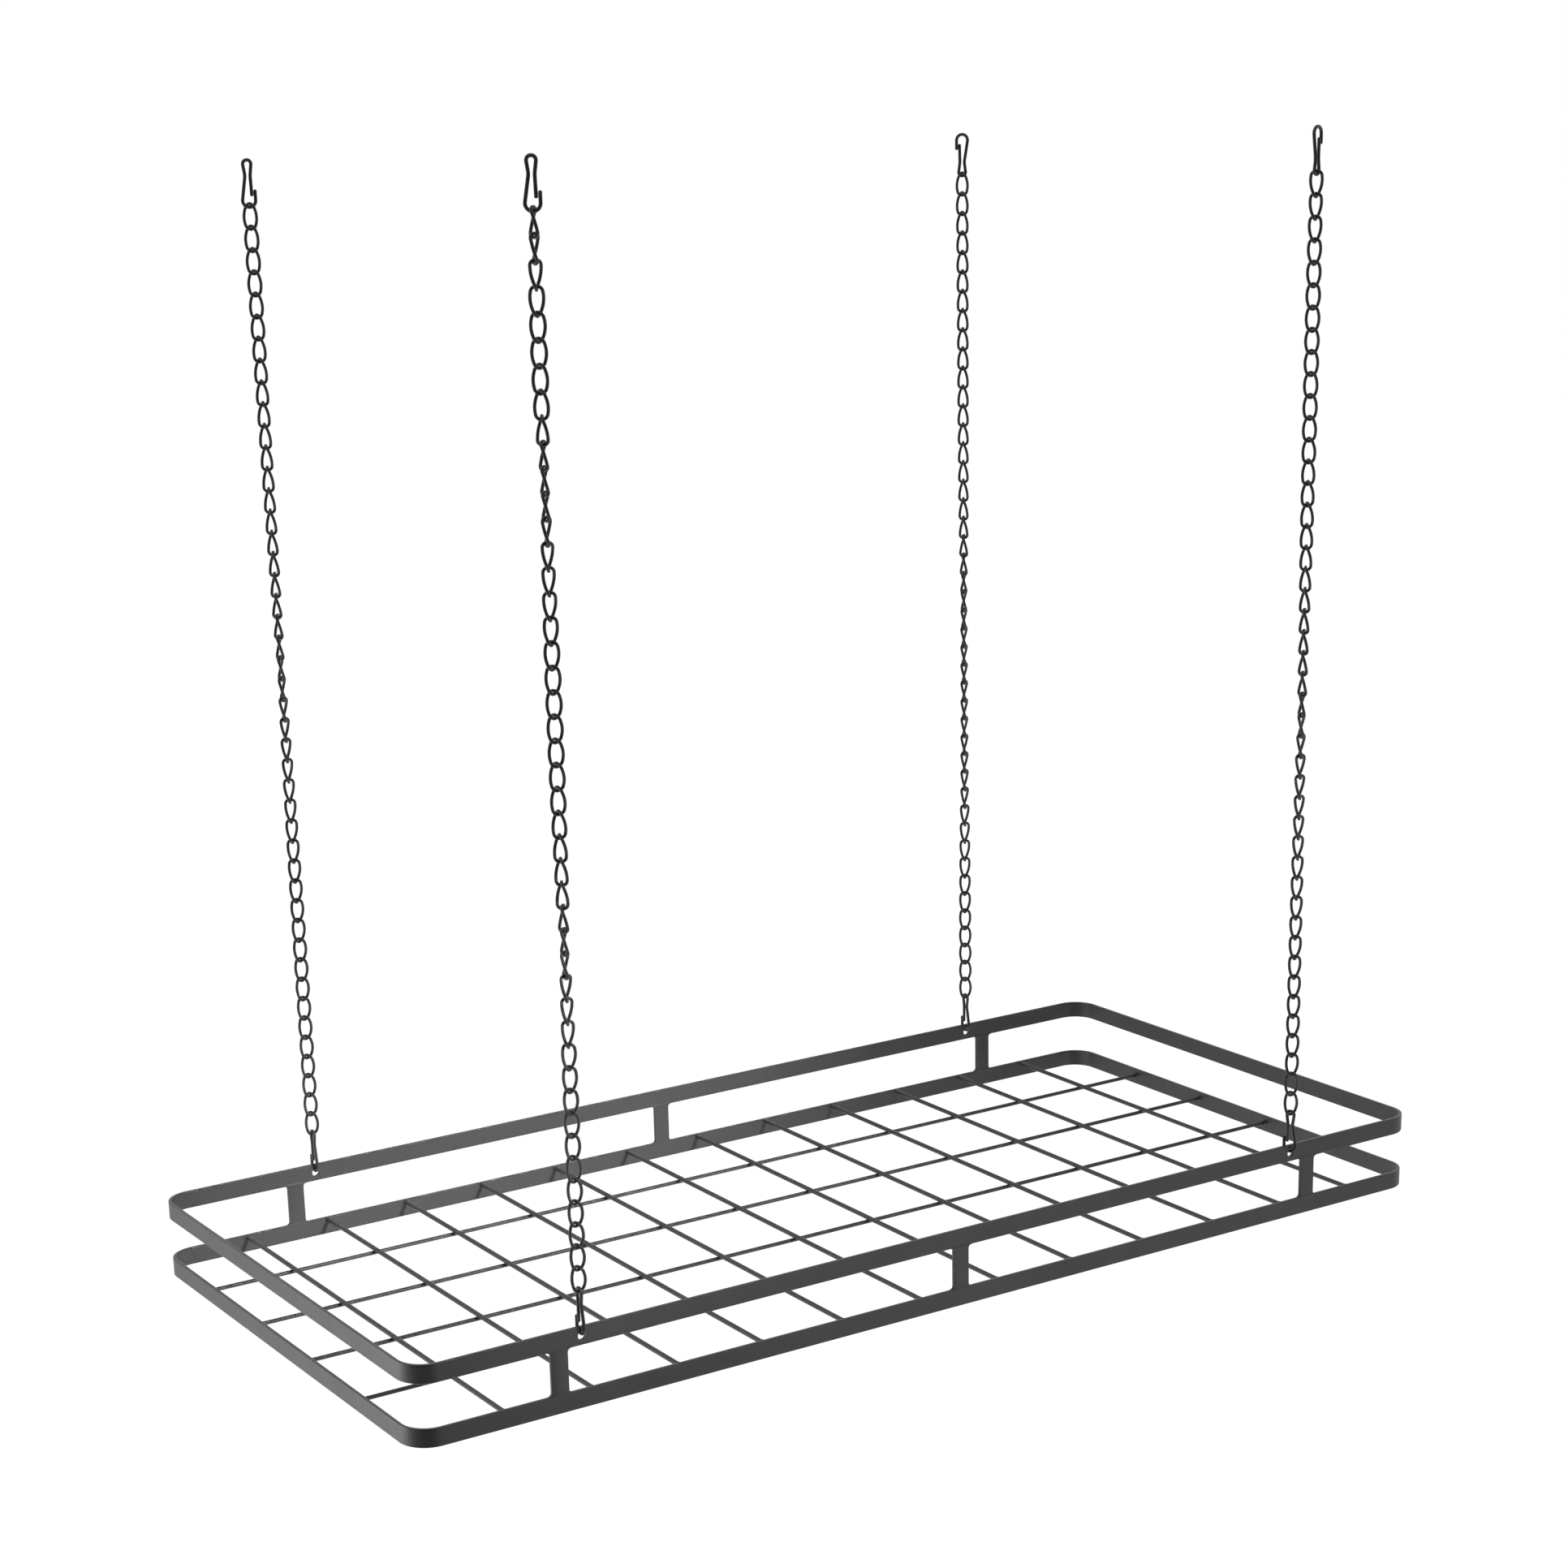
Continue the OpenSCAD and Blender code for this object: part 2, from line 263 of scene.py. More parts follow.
def bar_ring(low, high):
    """The bent and closed bar, from its box."""
    half_x, half_y = high.x, high.y
    section = bar_section(BAR_THICKNESS, high.z - low.z, EDGE_RADIUS)
    middle_z = (low.z + high.z) / 2
    stations = ring_path(half_x, half_y, CORNER_RADIUS)
    build = bmesh.new()
    # Marks the rounded edges, which are painted darker as shade
    shaded_edge = build.verts.layers.float.new("edge_shade")
    rings = []
    for centre, angle in stations:
        ring = []
        for across, up, value in section:
            reach = CORNER_RADIUS - BAR_THICKNESS / 2 + across
            x = centre[0] + reach * math.cos(angle)
            y = centre[1] + reach * math.sin(angle)
            vert = build.verts.new((x, y, middle_z + up))
            vert[shaded_edge] = value
            ring.append(vert)
        rings.append(ring)
    return skin(build, "bar_ring", rings, looped=True)


def drilled(mesh, places, radius, depth):
    """The mesh with round holes drilled along Y."""
    cutter_build = bmesh.new()
    for place in places:
        along_y = Matrix.Translation(place) @ Matrix.Rotation(math.pi / 2, 4, "X")
        bmesh.ops.create_cone(
            cutter_build, cap_ends=True, segments=36, radius1=radius, radius2=radius, depth=depth,
            matrix=along_y)
    cutter_mesh = bpy.data.meshes.new("drill")
    cutter_build.to_mesh(cutter_mesh)
    cutter_build.free()
    cutter = bpy.data.objects.new("drill", cutter_mesh)
    work = bpy.data.objects.new("drilled", mesh)
    for item in (cutter, work):
        bpy.context.scene.collection.objects.link(item)
    boolean = work.modifiers.new("holes", "BOOLEAN")
    boolean.operation = "DIFFERENCE"
    boolean.solver = "EXACT"
    boolean.object = cutter
    evaluated = work.evaluated_get(bpy.context.evaluated_depsgraph_get())
    result = bpy.data.meshes.new_from_object(evaluated)
    bpy.data.objects.remove(work)
    bpy.data.objects.remove(cutter)
    return result


powder_coat = coat_group()
bar_coat = coat_material("bar_coat", coat_grey, {}, edge_shade_attribute="edge_shade")
upper_low, upper_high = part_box("upper_frame")
lower_low, lower_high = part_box("lower_frame")
hole_x = upper_high.x - HOLE_INSET
hole_y = upper_high.y - BAR_THICKNESS / 2
hole_z = (upper_low.z + upper_high.z) / 2
hole_places = [Vector((sx * hole_x, sy * hole_y, hole_z)) for sx, sy in corner_side.values()]
upper_ring = new_piece(
    "upper_frame_bar",
    drilled(bar_ring(upper_low, upper_high), hole_places, HOLE_RADIUS, 3 * BAR_THICKNESS),
    bar_coat)
lower_ring = new_piece("lower_frame_bar", bar_ring(lower_low, lower_high), bar_coat)
for ring, node in ((upper_ring, "upper_frame"), (lower_ring, "lower_frame")):
    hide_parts(node)
    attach(ring, "rack")

# ---------------------------------------------------------------------------
# Posts. Six offcuts of the same flat bar stand between the frames on the long
# sides. Their welds are ground flush, which leaves round corners and a slightly
# uneven patch that runs a few millimetres on to the frames. The patch is painted
# darker, as shade where post meets bar.

POST_FILLET = 3 * MM
FOOT_HEIGHT = 2.4 * POST_FILLET
SHAFT_STEPS = 3
WELD_STEPS = 8
WELD_BEGIN = 0.35
WELD_REACH = 2.4 * MM
WELD_PROUD = 0.03 * MM
WELD_SINK = 0.12 * MM
WELD_TURN = 84


def post_rows(half_width, half_gap):
    """Rows up a post from its middle, as half-width, height, share of weld (which also sets the painted
    shade) and how far it stands proud.
    """
    shaft = half_gap - FOOT_HEIGHT
    rows = [(half_width, shaft * k / SHAFT_STEPS, 0.0, 0.0) for k in range(SHAFT_STEPS + 1)]
    for k in range(WELD_STEPS + 1):
        turn = math.radians(90 * k / WELD_STEPS)
        rows.append((
            half_width + POST_FILLET * (1 - math.cos(turn)),
            half_gap - POST_FILLET * (1 - math.sin(turn)),
            WELD_BEGIN + (1 - WELD_BEGIN) * k / WELD_STEPS,
            WELD_PROUD * k / WELD_STEPS))
    for k in range(1, WELD_STEPS + 1):
        turn = math.radians(WELD_TURN * k / WELD_STEPS)
        rows.append((
            (half_width + POST_FILLET) * math.cos(turn),
            half_gap + WELD_REACH * math.sin(turn),
            1.0,
            WELD_PROUD - (WELD_PROUD + WELD_SINK) * (k / WELD_STEPS) ** 2))
    return rows


def post_mesh(low, high):
    """A post with its ground welds, from the box of its solid. Its edges are rounded like the bar's."""
    centre = (low + high) / 2
    half_gap = (high.z - low.z) / 2
    upper_rows = post_rows((high.x - low.x) / 2 - POST_FILLET, half_gap)
    rows = [(x, -z, weld, proud) for x, z, weld, proud in reversed(upper_rows[1:])] + upper_rows
    build = bmesh.new()
    # The weld patch, which gets lumps and is painted darker as shade
    weld_and_shade_layer = build.verts.layers.float.new("weld_and_shade")
    rings = []
    for half_width, z, weld, proud in rows:
        ring = []
        for across, deep, _ in bar_section(2 * half_width, BAR_THICKNESS + 2 * proud, EDGE_RADIUS):
            vert = build.verts.new((centre.x + across, centre.y + deep, centre.z + z))
            vert[weld_and_shade_layer] = weld
            ring.append(vert)
        rings.append(ring)
    return skin(build, "post", rings, caps=(rings[0], rings[-1]))


post_coat = coat_material("post_coat", coat_grey, {}, weld_and_shade_attribute="weld_and_shade", bump=0.10)
for side in ("front", "back"):
    for place in ("left", "middle", "right"):
        name = f"post_{side}_{place}"
        post = new_piece(name + "_welded", post_mesh(*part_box(name)), post_coat)
        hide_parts(name)
        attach(post, "rack")

# ---------------------------------------------------------------------------
# Grid. Twelve steel wires lie across four long ones, in the lower frame. Each end is
# tacked to the inside of the bar with a short bead of weld. The coat on the wires is
# a shade darker than on the bars.

wire_grey = (0.038, 0.038, 0.040)
WIRE_SIDES = 14
BEAD_RINGS = 8
BEAD_LENGTH = 2.6 * MM
BEAD_OVER_WIRE = 1.15


def geometry_tree(name, sockets):
    """A geometry node tree with these named inputs, and its input and output nodes."""
    tree = bpy.data.node_groups.new(name, "GeometryNodeTree")
    face = tree.interface
    face.new_socket("Geometry", in_out="INPUT", socket_type="NodeSocketGeometry")
    for label, kind in sockets:
        face.new_socket(label, in_out="INPUT", socket_type="NodeSocket" + kind)
    face.new_socket("Geometry", in_out="OUTPUT", socket_type="NodeSocketGeometry")
    return tree, tree.nodes.new("NodeGroupInput"), tree.nodes.new("NodeGroupOutput")


def end_tree(tree, given, result, copies):
    """Makes the copies real, gives them the tree's material and sends them out."""
    real = tree.nodes.new("GeometryNodeRealizeInstances")
    tree.links.new(copies.outputs["Instances"], real.inputs["Geometry"])
    paint = tree.nodes.new("GeometryNodeSetMaterial")
    tree.links.new(real.outputs["Geometry"], paint.inputs["Geometry"])
    tree.links.new(given.outputs["Material"], paint.inputs["Material"])
    tree.links.new(paint.outputs["Geometry"], result.inputs["Geometry"])


def grid_wire_tree():
    """Parallel wires, a bead of weld at each end, spaced along one axis."""
    tree, given, result = geometry_tree("grid_wires", (
        ("Count", "Int"), ("First Start", "Vector"), ("First End", "Vector"), ("Step", "Vector"),
        ("Radius", "Float"), ("Bead", "Vector"), ("Material", "Material")))
    nodes, links = tree.nodes, tree.links
    line = nodes.new("GeometryNodeCurvePrimitiveLine")
    links.new(given.outputs["First Start"], line.inputs["Start"])
    links.new(given.outputs["First End"], line.inputs["End"])
    ring = nodes.new("GeometryNodeCurvePrimitiveCircle")
    ring.inputs["Resolution"].default_value = WIRE_SIDES
    links.new(given.outputs["Radius"], ring.inputs["Radius"])
    tube = nodes.new("GeometryNodeCurveToMesh")
    tube.inputs["Fill Caps"].default_value = True
    links.new(line.outputs["Curve"], tube.inputs["Curve"])
    links.new(ring.outputs["Curve"], tube.inputs["Profile Curve"])
    ends = nodes.new("GeometryNodeCurveToPoints")
    ends.mode = "COUNT"
    ends.inputs["Count"].default_value = 2
    links.new(line.outputs["Curve"], ends.inputs["Curve"])
    bead = nodes.new("GeometryNodeMeshUVSphere")
    bead.inputs["Segments"].default_value = WIRE_SIDES
    bead.inputs["Rings"].default_value = BEAD_RINGS
    bead.inputs["Radius"].default_value = 1
    beads = nodes.new("GeometryNodeInstanceOnPoints")
    links.new(ends.outputs["Points"], beads.inputs["Points"])
    links.new(bead.outputs["Mesh"], beads.inputs["Instance"])
    links.new(given.outputs["Bead"], beads.inputs["Scale"])
    one = nodes.new("GeometryNodeJoinGeometry")
    links.new(tube.outputs["Mesh"], one.inputs["Geometry"])
    links.new(beads.outputs["Instances"], one.inputs["Geometry"])
    row = nodes.new("GeometryNodeMeshLine")
    row.mode = "OFFSET"
    links.new(given.outputs["Count"], row.inputs["Count"])
    links.new(given.outputs["Step"], row.inputs["Offset"])
    copies = nodes.new("GeometryNodeInstanceOnPoints")
    links.new(row.outputs["Mesh"], copies.inputs["Points"])
    links.new(one.outputs["Geometry"], copies.inputs["Instance"])
    end_tree(tree, given, result, copies)
    return tree


def set_inputs(modifier, values):
    """Gives a node tree's named inputs their values."""
    for item in modifier.node_group.interface.items_tree:
        if item.in_out == "INPUT" and item.name in values:
            modifier[item.identifier] = values[item.name]


def grown(name, tree, values, seed_mesh=None):
    """Runs a geometry tree once and keeps its result as a plain mesh."""
    work = bpy.data.objects.new("grow", seed_mesh or bpy.data.meshes.new("grow"))
    bpy.context.scene.collection.objects.link(work)
    modifier = work.modifiers.new("grow", "NODES")
    modifier.node_group = tree
    set_inputs(modifier, values)
    bpy.context.view_layer.update()
    evaluated = work.evaluated_get(bpy.context.evaluated_depsgraph_get())
    mesh = bpy.data.meshes.new_from_object(evaluated)
    bpy.data.objects.remove(work)
    mesh.name = name
    return mesh


wire_look = {"Cloud Size": 0.03, "Cloud Depth": 0.22}
wire_coat = coat_material("wire_coat", wire_grey, wire_look, bump=0.05)
grid_wires = grid_wire_tree()
for kind, count in (("cross_wire", 12), ("long_wire", 4)):
    names = [f"{kind}_{k:02d}" for k in range(1, count + 1)]
    first_low, first_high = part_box(names[0])
    last_low, last_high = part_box(names[-1])
    radius = (first_high.z - first_low.z) / 2
    start = (first_low + first_high) / 2
    end = start.copy()
    bead = Vector((BEAD_OVER_WIRE, BEAD_OVER_WIRE, BEAD_OVER_WIRE)) * radius
    if kind == "cross_wire":
        start.y, end.y = first_low.y, first_high.y
        bead.x = BEAD_LENGTH
    else:
        start.x, end.x = first_low.x, first_high.x
        bead.y = BEAD_LENGTH
    step = ((last_low + last_high) - (first_low + first_high)) / 2 / (count - 1)
    wires = new_piece(kind + "s", grown(kind + "s", grid_wires, {
        "Count": count, "First Start": start, "First End": end, "Step": step,
        "Radius": radius, "Bead": bead, "Material": wire_coat}), wire_coat)
    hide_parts(*names)
    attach(wires, "rack")

# ---------------------------------------------------------------------------
# Chains. Each link is an oval of 2.5 steel wire with a quarter turn of twist, so that it
# hangs square in the one above. Each chain also winds about its own line as it hangs.
# The coat is satin black.

link_black = (0.014, 0.014, 0.015)
LINK_WIRE = 2.5 * MM
LINK_SIDES = 12
LINK_PITCH = 17.4 * MM
BOW_WIDTH = 10.1 * MM
SIDE_WIDTH = 12.5 * MM
LINK_PLAY = 0.2 * MM
BOW_SHARE = 0.96


def rounded(corners, radii, steps, ring=False):
    """Points along a wire's middle through corners rounded with the radii, ends included."""
    count = len(corners)
    points = []
    for i, (corner, radius) in enumerate(zip(corners, radii)):
        if not ring and i in (0, count - 1):
            points.append(Vector(corner))
            continue
        here = Vector(corner)
        to_here = (here - Vector(corners[i - 1])).normalized()
        onward = (Vector(corners[(i + 1) % count]) - here).normalized()
        angle = to_here.angle(onward)
        centre = here + (onward - to_here).normalized() * radius / math.cos(angle / 2)
        begin = here - to_here * radius * math.tan(angle / 2) - centre
        axis = to_here.cross(onward).normalized()
        for k in range(steps + 1):
            points.append(centre + Matrix.Rotation(angle * k / steps, 3, axis) @ begin)
    return points


def bend_for(corners, i, start):
    """The bend radius at a corner that begins so far before it."""
    count = len(corners)
    here = Vector(corners[i])
    angle = (here - Vector(corners[i - 1])).angle(Vector(corners[(i + 1) % count]) - here)
    return start / math.tan(angle / 2)


def link_centreline():
    """The middle of one link's wire. Its end bows are square to each other."""
    half = (LINK_PITCH + LINK_WIRE + LINK_PLAY) / 2
    bow = (BOW_WIDTH - LINK_WIRE) / 2
    reach = bow * math.cos(math.radians(45))
    corners = [
        (-reach, reach, half), (reach, -reach, half), (SIDE_WIDTH / 2, 0, 0),
        (reach, reach, -half), (-reach, -reach, -half), (-SIDE_WIDTH / 2, 0, 0)]
    slope = (Vector(corners[2]) - Vector(corners[1])).length
    starts = [bow * BOW_SHARE, bow * BOW_SHARE, slope - bow] * 2
    radii = [bend_for(corners, i, starts[i]) for i in range(6)]
    return rounded(corners, radii, steps=5, ring=True)


def chain_tree():
    """Links set on points, each turned about Z by the point's own turn."""
    tree, given, result = geometry_tree("chain_links", (
        ("Link Path", "Object"), ("Wire Radius", "Float"), ("Wire Sides", "Int"),
        ("Material", "Material")))
    nodes, links = tree.nodes, tree.links
    path = nodes.new("GeometryNodeObjectInfo")
    links.new(given.outputs["Link Path"], path.inputs["Object"])
    ring = nodes.new("GeometryNodeCurvePrimitiveCircle")
    links.new(given.outputs["Wire Sides"], ring.inputs["Resolution"])
    links.new(given.outputs["Wire Radius"], ring.inputs["Radius"])
    tube = nodes.new("GeometryNodeCurveToMesh")
    links.new(path.outputs["Geometry"], tube.inputs["Curve"])
    links.new(ring.outputs["Curve"], tube.inputs["Profile Curve"])
    turn = nodes.new("GeometryNodeInputNamedAttribute")
    turn.data_type = "FLOAT"
    turn.inputs["Name"].default_value = "turn"
    spin = nodes.new("ShaderNodeCombineXYZ")
    links.new(turn.outputs["Attribute"], spin.inputs["Z"])
    copies = nodes.new("GeometryNodeInstanceOnPoints")
    links.new(given.outputs["Geometry"], copies.inputs["Points"])
    links.new(tube.outputs["Mesh"], copies.inputs["Instance"])
    links.new(spin.outputs["Vector"], copies.inputs["Rotation"])
    end_tree(tree, given, result, copies)
    return tree


def link_places(node, centre):
    """Middle and turn of each link in a chain's solid. A link's middle is widest along its own X."""
    low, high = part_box(node)
    span = LINK_PITCH + 2 * LINK_WIRE + LINK_PLAY
    count = round((high.z - low.z - span) / LINK_PITCH) + 1
    points = np.array([v.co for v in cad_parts[node].data.vertices])
    places = []
    for k in range(count):
        z = high.z - span / 2 - k * LINK_PITCH
        waist = points[abs(points[:, 2] - z) < LINK_WIRE]
        away = waist[:, :2] - centre
        doubled = 2 * np.arctan2(away[:, 1], away[:, 0])
        turn = math.atan2(np.sin(doubled).mean(), np.cos(doubled).mean()) / 2
        places.append(((*centre, z), turn))
    return places


link_path_data = bpy.data.curves.new("link_path", "CURVE")
link_path_data.dimensions = "3D"
link_spline = link_path_data.splines.new("POLY")
link_points = link_centreline()
link_spline.points.add(len(link_points) - 1)
for spline_point, place in zip(link_spline.points, link_points):
    spline_point.co = (*place, 1)
link_spline.use_cyclic_u = True
link_path = bpy.data.objects.new("link_path", link_path_data)
bpy.context.scene.collection.objects.link(link_path)
link_look = {"Cloud Size": 0.02, "Cloud Depth": 0.3, "Roughness": 0.42}
link_coat = coat_material("link_coat", link_black, link_look, bump=0.03)
chain_links = chain_tree()
for corner, (sx, sy) in corner_side.items():
    for kind in ("top_link", "chain"):
        node = f"{kind}_{corner}"
        places = link_places(node, (sx * hole_x, sy * hole_y))
        seeds = bpy.data.meshes.new(node)
        seeds.from_pydata([place for place, turn in places], [], [])
        turns = seeds.attributes.new("turn", "FLOAT", "POINT")
        turns.data.foreach_set("value", [turn for place, turn in places])
        links_mesh = grown(node + "_links", chain_links, {
            "Link Path": link_path, "Wire Radius": LINK_WIRE / 2, "Wire Sides": LINK_SIDES,
            "Material": link_coat}, seeds)
        links_piece = new_piece(node + "_links", links_mesh, link_coat)
        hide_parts(node)
        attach(links_piece, node)
bpy.data.objects.remove(link_path)

# ---------------------------------------------------------------------------
# Snap hooks. Each is one length of 2.8 steel wire bent to a large and a small loop
# that meet at a narrow waist. One end of the wire is the catch, and the other springs
# against the inside of the catch. The coat is satin black.

hook_black = (0.024, 0.024, 0.026)
HOOK_WIRE = 2.8 * MM
HOOK_SPAN = 36.4 * MM
LARGE_HALF = 5.5 * MM
SMALL_HALF = 3.45 * MM
WAIST_HALF = 2.2 * MM
WAIST_UP = 24.4 * MM
CATCH_UP = 13.6 * MM
ARM_UP = 8.2 * MM
ARM_PLAY = 0.15 * MM
LOOP_FLAT = 0.3 * MM
WAIST_BEND = 12 * MM
ARM_BEGIN = 0.28
CROWN = 0.7
# Steps up the dome of a dressed end, and the wire's width there, as shares
DOME = ((0.0, 1.0), (0.45, 0.88), (0.8, 0.6), (0.97, 0.25))
HOOK_SIDES = 14
HOOK_TURNS = {
    "top_hook": {"back_left": -4, "front_left": -44, "back_right": -12, "front_right": -163},
    "bottom_hook": {"back_left": 90, "front_left": 90, "back_right": 90, "front_right": 110}}
LARGE_LOOP_UP = ("top_hook_back_right", "top_hook_front_right")


def loop_corner(radius, height):
    """Half-width at a loop's tip of the line from the waist that touches the loop's bend."""
    inward = WAIST_HALF - LOOP_FLAT
    rise = height - radius
    lean = math.asin(radius / math.hypot(inward, rise)) - math.atan(inward / rise)
    return WAIST_HALF + height * math.tan(lean)


def hook_paths():
    """The middle of a hook's wire in its own plane, as body and sprung arm, which carries on from it."""
    large_bend = LARGE_HALF - LOOP_FLAT
    small_bend = SMALL_HALF - LOOP_FLAT
    large = loop_corner(large_bend, WAIST_UP)
    small = loop_corner(small_bend, HOOK_SPAN - WAIST_UP)
    arm_root = Vector(((small + WAIST_HALF) / 2, 0, (HOOK_SPAN + WAIST_UP) / 2))
    arm_top = arm_root.lerp(Vector((small, 0, HOOK_SPAN)), ARM_BEGIN)
    body = rounded(
        [(LARGE_HALF, 0, CATCH_UP), (LARGE_HALF, 0, 0), (-large, 0, 0), (-WAIST_HALF, 0, WAIST_UP),
         (-small, 0, HOOK_SPAN), (small, 0, HOOK_SPAN), tuple(arm_top)],
        [0, large_bend, large_bend, WAIST_BEND, small_bend, small_bend, 0], steps=10)
    arm_x = LARGE_HALF - HOOK_WIRE - ARM_PLAY
    arm = rounded(
        [tuple(arm_top), (WAIST_HALF, 0, WAIST_UP), (arm_x, 0, ARM_UP)],
        [0, WAIST_BEND, 0], steps=8)
    upper = [arm_top.lerp(arm[1], k / 10) for k in range(10)]
    return body, upper + arm[1:], arm_root, arm_top


def wire_mesh(name, points, radius, sides, dressed_ends):
    """A round wire along points that lie in the XZ plane. A dressed end is rounded off."""
    stations = [(Vector(point), radius, None) for point in points]
    first = (stations[1][0] - stations[0][0]).normalized()
    last = (stations[-1][0] - stations[-2][0]).normalized()
    crown = radius * CROWN

    def cap(tip, inward, along):
        return [(tip + inward * crown * (1 - out), radius * wide, along) for out, wide in DOME]

    if dressed_ends[0]:
        stations = cap(stations[0][0], first, first)[::-1] + stations[1:]
    if dressed_ends[1]:
        stations = stations[:-1] + cap(stations[-1][0], -last, last)
    build = bmesh.new()
    turns = [2 * math.pi * k / sides for k in range(sides)]
    rings = []
    for i, (place, wide, along) in enumerate(stations):
        if along is None:
            before = stations[max(i - 1, 0)][0]
            after = stations[min(i + 1, len(stations) - 1)][0]
            along = after - before
        along = along.normalized()
        side = Vector((0, 1, 0))
        out = side.cross(along).normalized()
        rings.append([
            build.verts.new(place + wide * (out * math.cos(turn) + side * math.sin(turn)))
            for turn in turns])
    caps = [ring for ring, dressed in zip((rings[0], rings[-1]), dressed_ends) if dressed]
    return skin(build, name, rings, caps=caps)


hook_look = {"Cloud Size": 0.012, "Cloud Depth": 0.35, "Roughness": 0.40}
hook_coat = coat_material("hook_coat", hook_black, hook_look, bump=0.03)
body_path, arm_path, arm_root, arm_top = hook_paths()
for kind, turns in HOOK_TURNS.items():
    for corner, (sx, sy) in corner_side.items():
        node = f"{kind}_{corner}"
        low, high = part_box(node)
        turned_over = node in LARGE_LOOP_UP
        tip_z = high.z - HOOK_WIRE / 2 if turned_over else low.z + HOOK_WIRE / 2
        place = (
            Matrix.Translation((sx * hole_x, sy * hole_y, tip_z))
            @ Matrix.Rotation(math.radians(turns[corner]), 4, "Z")
            @ Matrix.Rotation(math.pi if turned_over else 0, 4, "Y"))
        carrier = "ceiling_hooks" if kind == "top_hook" else node
        body_wire = wire_mesh(node + "_wire", body_path, HOOK_WIRE / 2, HOOK_SIDES, (True, False))
        arm_wire = wire_mesh(node + "_arm_wire", arm_path, HOOK_WIRE / 2, HOOK_SIDES, (False, True))
        body_wire.transform(place)
        arm_wire.transform(place)
        body_piece = new_piece(node + "_wire", body_wire, hook_coat)
        arm_piece = new_piece(node + "_arm_wire", arm_wire, hook_coat)
        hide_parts(node)
        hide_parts(f"{kind}_arm_{corner}")
        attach(body_piece, carrier)
        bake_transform(arm_piece)

# ---------------------------------------------------------------------------
# Studio. A plain white room with a pale floor well below the rack, unlit at the end in
# front of the rack's left. Soft lamps stand to the left, in front, above and below, and
# a narrow one lights the inside of the back bars.

UNLIT_WAY = (-0.44, -0.90)
UNLIT_LOSS = 0.85
SKY_REACH = (0.4, 0.85)
SKY_LOW = 0.55
SKY_OVERHEAD = 0.1
SKY_TOP = 0.8
FLOOR_DROP = 1.05
FLOOR_HALF = 14
FLOOR_REACH = (1.2, 2.4)
FLOOR_GREY = 0.9
# Painted shade: how much darker the floor's colour and mirrored glow are at the unlit end
FLOOR_PAINTED_SHADE = 0.8
FLOOR_MIRRORED = 0.8
FLOOR_SEEN = 0.9
FLOOR_SEEN_UNLIT = 0.2


def area_light(name, place, target, width, depth, power, spread=180):
    """A soft lamp of the given size that faces its target. Its spread is in degrees."""
    data = bpy.data.lights.new(name, "AREA")
    data.shape = "RECTANGLE"
    data.size = width
    data.size_y = depth
    data.energy = power
    data.spread = math.radians(spread)
    lamp = bpy.data.objects.new(name, data)
    lamp.location = place
    lamp.rotation_euler = (Vector(target) - Vector(place)).to_track_quat("-Z", "Y").to_euler()
    lamp.visible_camera = False
    bpy.context.scene.collection.objects.link(lamp)


rack_z = (lower_low.z + upper_high.z) / 2
area_light(
    "left_lamp", place=(-1.2, 0.35, rack_z - 0.15), target=(-0.1, 0.1, rack_z),
    width=0.8, depth=0.9, power=7)
area_light(
    "under_lamp", place=(0, 0, rack_z - 0.7), target=(0, 0, rack_z),
    width=1.3, depth=0.5, power=3)
area_light(
    "front_lamp", place=(0.9, -2.2, rack_z - 0.6), target=(0, 0, rack_z),
    width=1.4, depth=0.9, power=8)
area_light(
    "back_lamp", place=(0.5, -2.2, rack_z + 1.3), target=(-0.2, 0.235, rack_z),
    width=0.7, depth=0.1, power=0.8, spread=10)
area_light(
    "top_lamp", place=(-0.4, 0.8, rack_z + 2.6), target=(0, 0, rack_z),
    width=2.4, depth=2.4, power=2.5)

bpy.context.scene.view_settings.view_transform = "Standard"
world = bpy.data.worlds.new("studio")
bpy.context.scene.world = world
world.use_nodes = True
world.node_tree.nodes.clear()


def dark_front(nodes, links, across, along, reach):
    """1 where a place or direction is towards the room's unlit end, else 0."""
    sideways = joined(nodes, links, "MULTIPLY", across, UNLIT_WAY[0])
    facing = joined(nodes, links, "MULTIPLY_ADD", along, UNLIT_WAY[1], sideways)
    ramp = nodes.new("ShaderNodeMapRange")
    ramp.interpolation_type = "SMOOTHSTEP"
    ramp.inputs["From Min"].default_value = reach[0]
    ramp.inputs["From Max"].default_value = reach[1]
    links.new(facing, ramp.inputs["Value"])
    return ramp.outputs["Result"]


sky_nodes, sky_links = world.node_tree.nodes, world.node_tree.links
sky_out = sky_nodes.new("ShaderNodeOutputWorld")
direction = sky_nodes.new("ShaderNodeTexCoord")
split = sky_nodes.new("ShaderNodeSeparateXYZ")
sky_links.new(direction.outputs["Generated"], split.inputs["Vector"])
height = sky_nodes.new("ShaderNodeMapRange")
height.inputs["From Max"].default_value = SKY_TOP
height.inputs["To Min"].default_value = SKY_LOW
height.inputs["To Max"].default_value = SKY_OVERHEAD
sky_links.new(split.outputs["Z"], height.inputs["Value"])
unlit = dark_front(sky_nodes, sky_links, split.outputs["X"], split.outputs["Y"], SKY_REACH)
lit_share = joined(sky_nodes, sky_links, "MULTIPLY_ADD", unlit, -UNLIT_LOSS, 1.0)
rays = sky_nodes.new("ShaderNodeLightPath")
as_mirrored = joined(
    sky_nodes, sky_links, "MAXIMUM", rays.outputs["Is Glossy Ray"], rays.outputs["Is Transmission Ray"])
